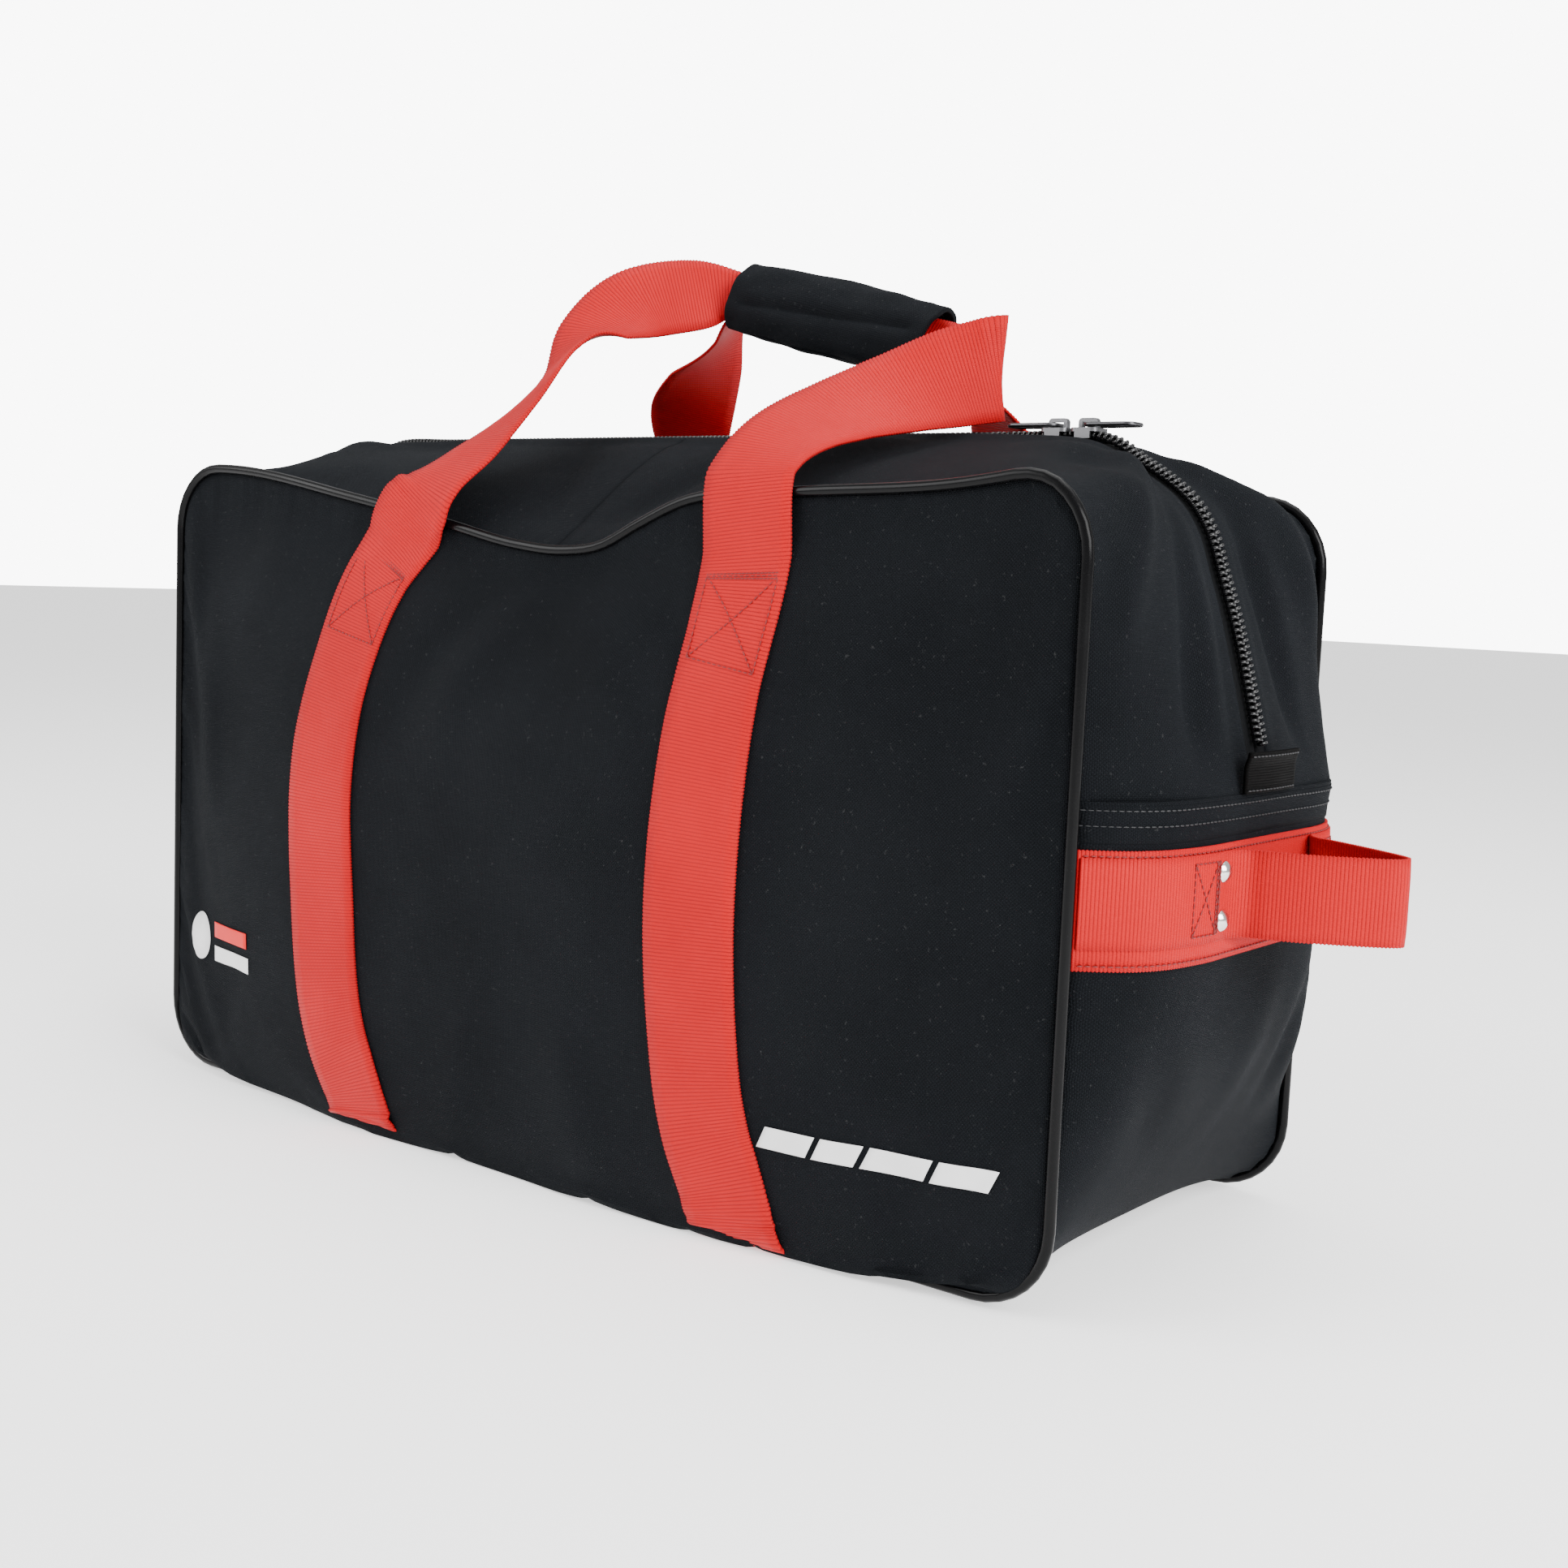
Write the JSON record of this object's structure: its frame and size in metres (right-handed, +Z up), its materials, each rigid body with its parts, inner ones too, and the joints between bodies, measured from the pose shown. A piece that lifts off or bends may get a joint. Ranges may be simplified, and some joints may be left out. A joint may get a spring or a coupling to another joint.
{
  "type": "equipment bag",
  "caption": "Boxy canvas equipment bag with piped crowned panels, a zip over the top, webbing carrying handles with a wrapped grip, and riveted end grab loops.",
  "frame": {"origin": "on the floor, under the middle of the bag", "axes": "+X along the bag towards its right-hand end, +Y from the front panel to the back panel, +Z up"},
  "size_m": [0.7964, 0.305, 0.4873],
  "materials": {
    "bag_canvas": "matte woven polyester canvas",
    "base_board": "matte",
    "vinyl_piping": "semi-gloss vinyl",
    "binding_tape": "woven tape",
    "zip_tape": "fine twill tape",
    "zip_coil": "satin nylon",
    "tab_webbing": "ribbed webbing",
    "zip_metal": "satin plated zinc",
    "grip_canvas": "matte woven canvas",
    "closure_strip": "hook and loop",
    "rivet_metal": "polished nickel",
    "red_webbing": "ribbed polypropylene webbing"
  },
  "bodies": {
    "bag": {"front_panel": "bag_canvas", "back_panel": "bag_canvas", "lower_gusset": "bag_canvas", "base_board": "base_board", "front_piping": "vinyl_piping", "back_piping": "vinyl_piping", "front_seam_binding": "binding_tape", "back_seam_binding": "binding_tape", "front_top_right_end": "bag_canvas", "front_top_left_end": "bag_canvas", "back_top_right_end": "bag_canvas", "back_top_left_end": "bag_canvas", "right_zip_tape_end": "zip_tape", "left_zip_tape_end": "zip_tape", "right_zip_coil_end": "zip_coil", "left_zip_coil_end": "zip_coil", "right_zip_tab": "tab_webbing", "left_zip_tab": "tab_webbing", "left_body_strap": "red_webbing", "right_body_strap": "red_webbing", "right_base_web": "red_webbing", "left_base_web": "red_webbing", "right_grab_feet": "red_webbing", "left_grab_feet": "red_webbing", "right_rivets": "rivet_metal", "left_rivets": "rivet_metal", "right_burrs": "rivet_metal", "left_burrs": "rivet_metal"},
    "front_top": {"front_top_gusset": "bag_canvas", "front_zip_tape": "zip_tape", "front_zip_coil": "zip_coil"},
    "back_top": {"back_top_gusset": "bag_canvas", "back_zip_tape": "zip_tape", "back_zip_coil": "zip_coil"},
    "left_slider": {"left_zip_slider": "zip_metal"},
    "right_slider": {"right_zip_slider": "zip_metal"},
    "left_pull": {"left_zip_pull": "zip_metal"},
    "right_pull": {"right_zip_pull": "zip_metal"},
    "front_handle": {"front_handle_web": "red_webbing", "front_grip_leaf": "grip_canvas", "grip_hook_strip": "closure_strip"},
    "back_handle": {"back_handle_web": "red_webbing", "back_grip_leaf": "grip_canvas", "grip_loop_strip": "closure_strip"},
    "right_grab": {"right_grab_loop": "red_webbing"},
    "left_grab": {"left_grab_loop": "red_webbing"}
  },
  "joints": [
    {"name": "front_top_fold", "type": "hinge", "parent": "bag", "child": "front_top", "pos_m": [0, -0.1118, 0.3499], "axis": [-1, 0, 0], "range_deg": [0, 80]},
    {"name": "back_top_fold", "type": "hinge", "parent": "bag", "child": "back_top", "pos_m": [0, 0.1118, 0.3499], "axis": [1, 0, 0], "range_deg": [0, 80]},
    {"name": "left_slider_travel", "type": "slide", "parent": "bag", "child": "left_slider", "axis": [-1, 0, 0], "range_m": [0, 0.43]},
    {"name": "right_slider_travel", "type": "slide", "parent": "bag", "child": "right_slider", "axis": [1, 0, 0], "range_m": [0, 0.012]},
    {"name": "left_pull_swing", "type": "hinge", "parent": "left_slider", "child": "left_pull", "pos_m": [0.218, 0, 0.381], "axis": [0, 1, 0], "range_deg": [0, 100]},
    {"name": "right_pull_swing", "type": "hinge", "parent": "right_slider", "child": "right_pull", "pos_m": [0.234, 0, 0.381], "axis": [0, -1, 0], "range_deg": [0, 100]},
    {"name": "front_handle_swing", "type": "hinge", "parent": "bag", "child": "front_handle", "pos_m": [0, -0.1231, 0.3522], "axis": [1, 0, 0], "range_deg": [0, 200]},
    {"name": "back_handle_swing", "type": "hinge", "parent": "bag", "child": "back_handle", "pos_m": [0, 0.1231, 0.3522], "axis": [-1, 0, 0], "range_deg": [0, 185]},
    {"name": "right_grab_swing", "type": "hinge", "parent": "bag", "child": "right_grab", "pos_m": [0.3552, 0, 0.178], "axis": [0, 1, 0], "range_deg": [-75, 75]},
    {"name": "left_grab_swing", "type": "hinge", "parent": "bag", "child": "left_grab", "pos_m": [-0.3552, 0, 0.178], "axis": [0, -1, 0], "range_deg": [-75, 75]}
  ]
}
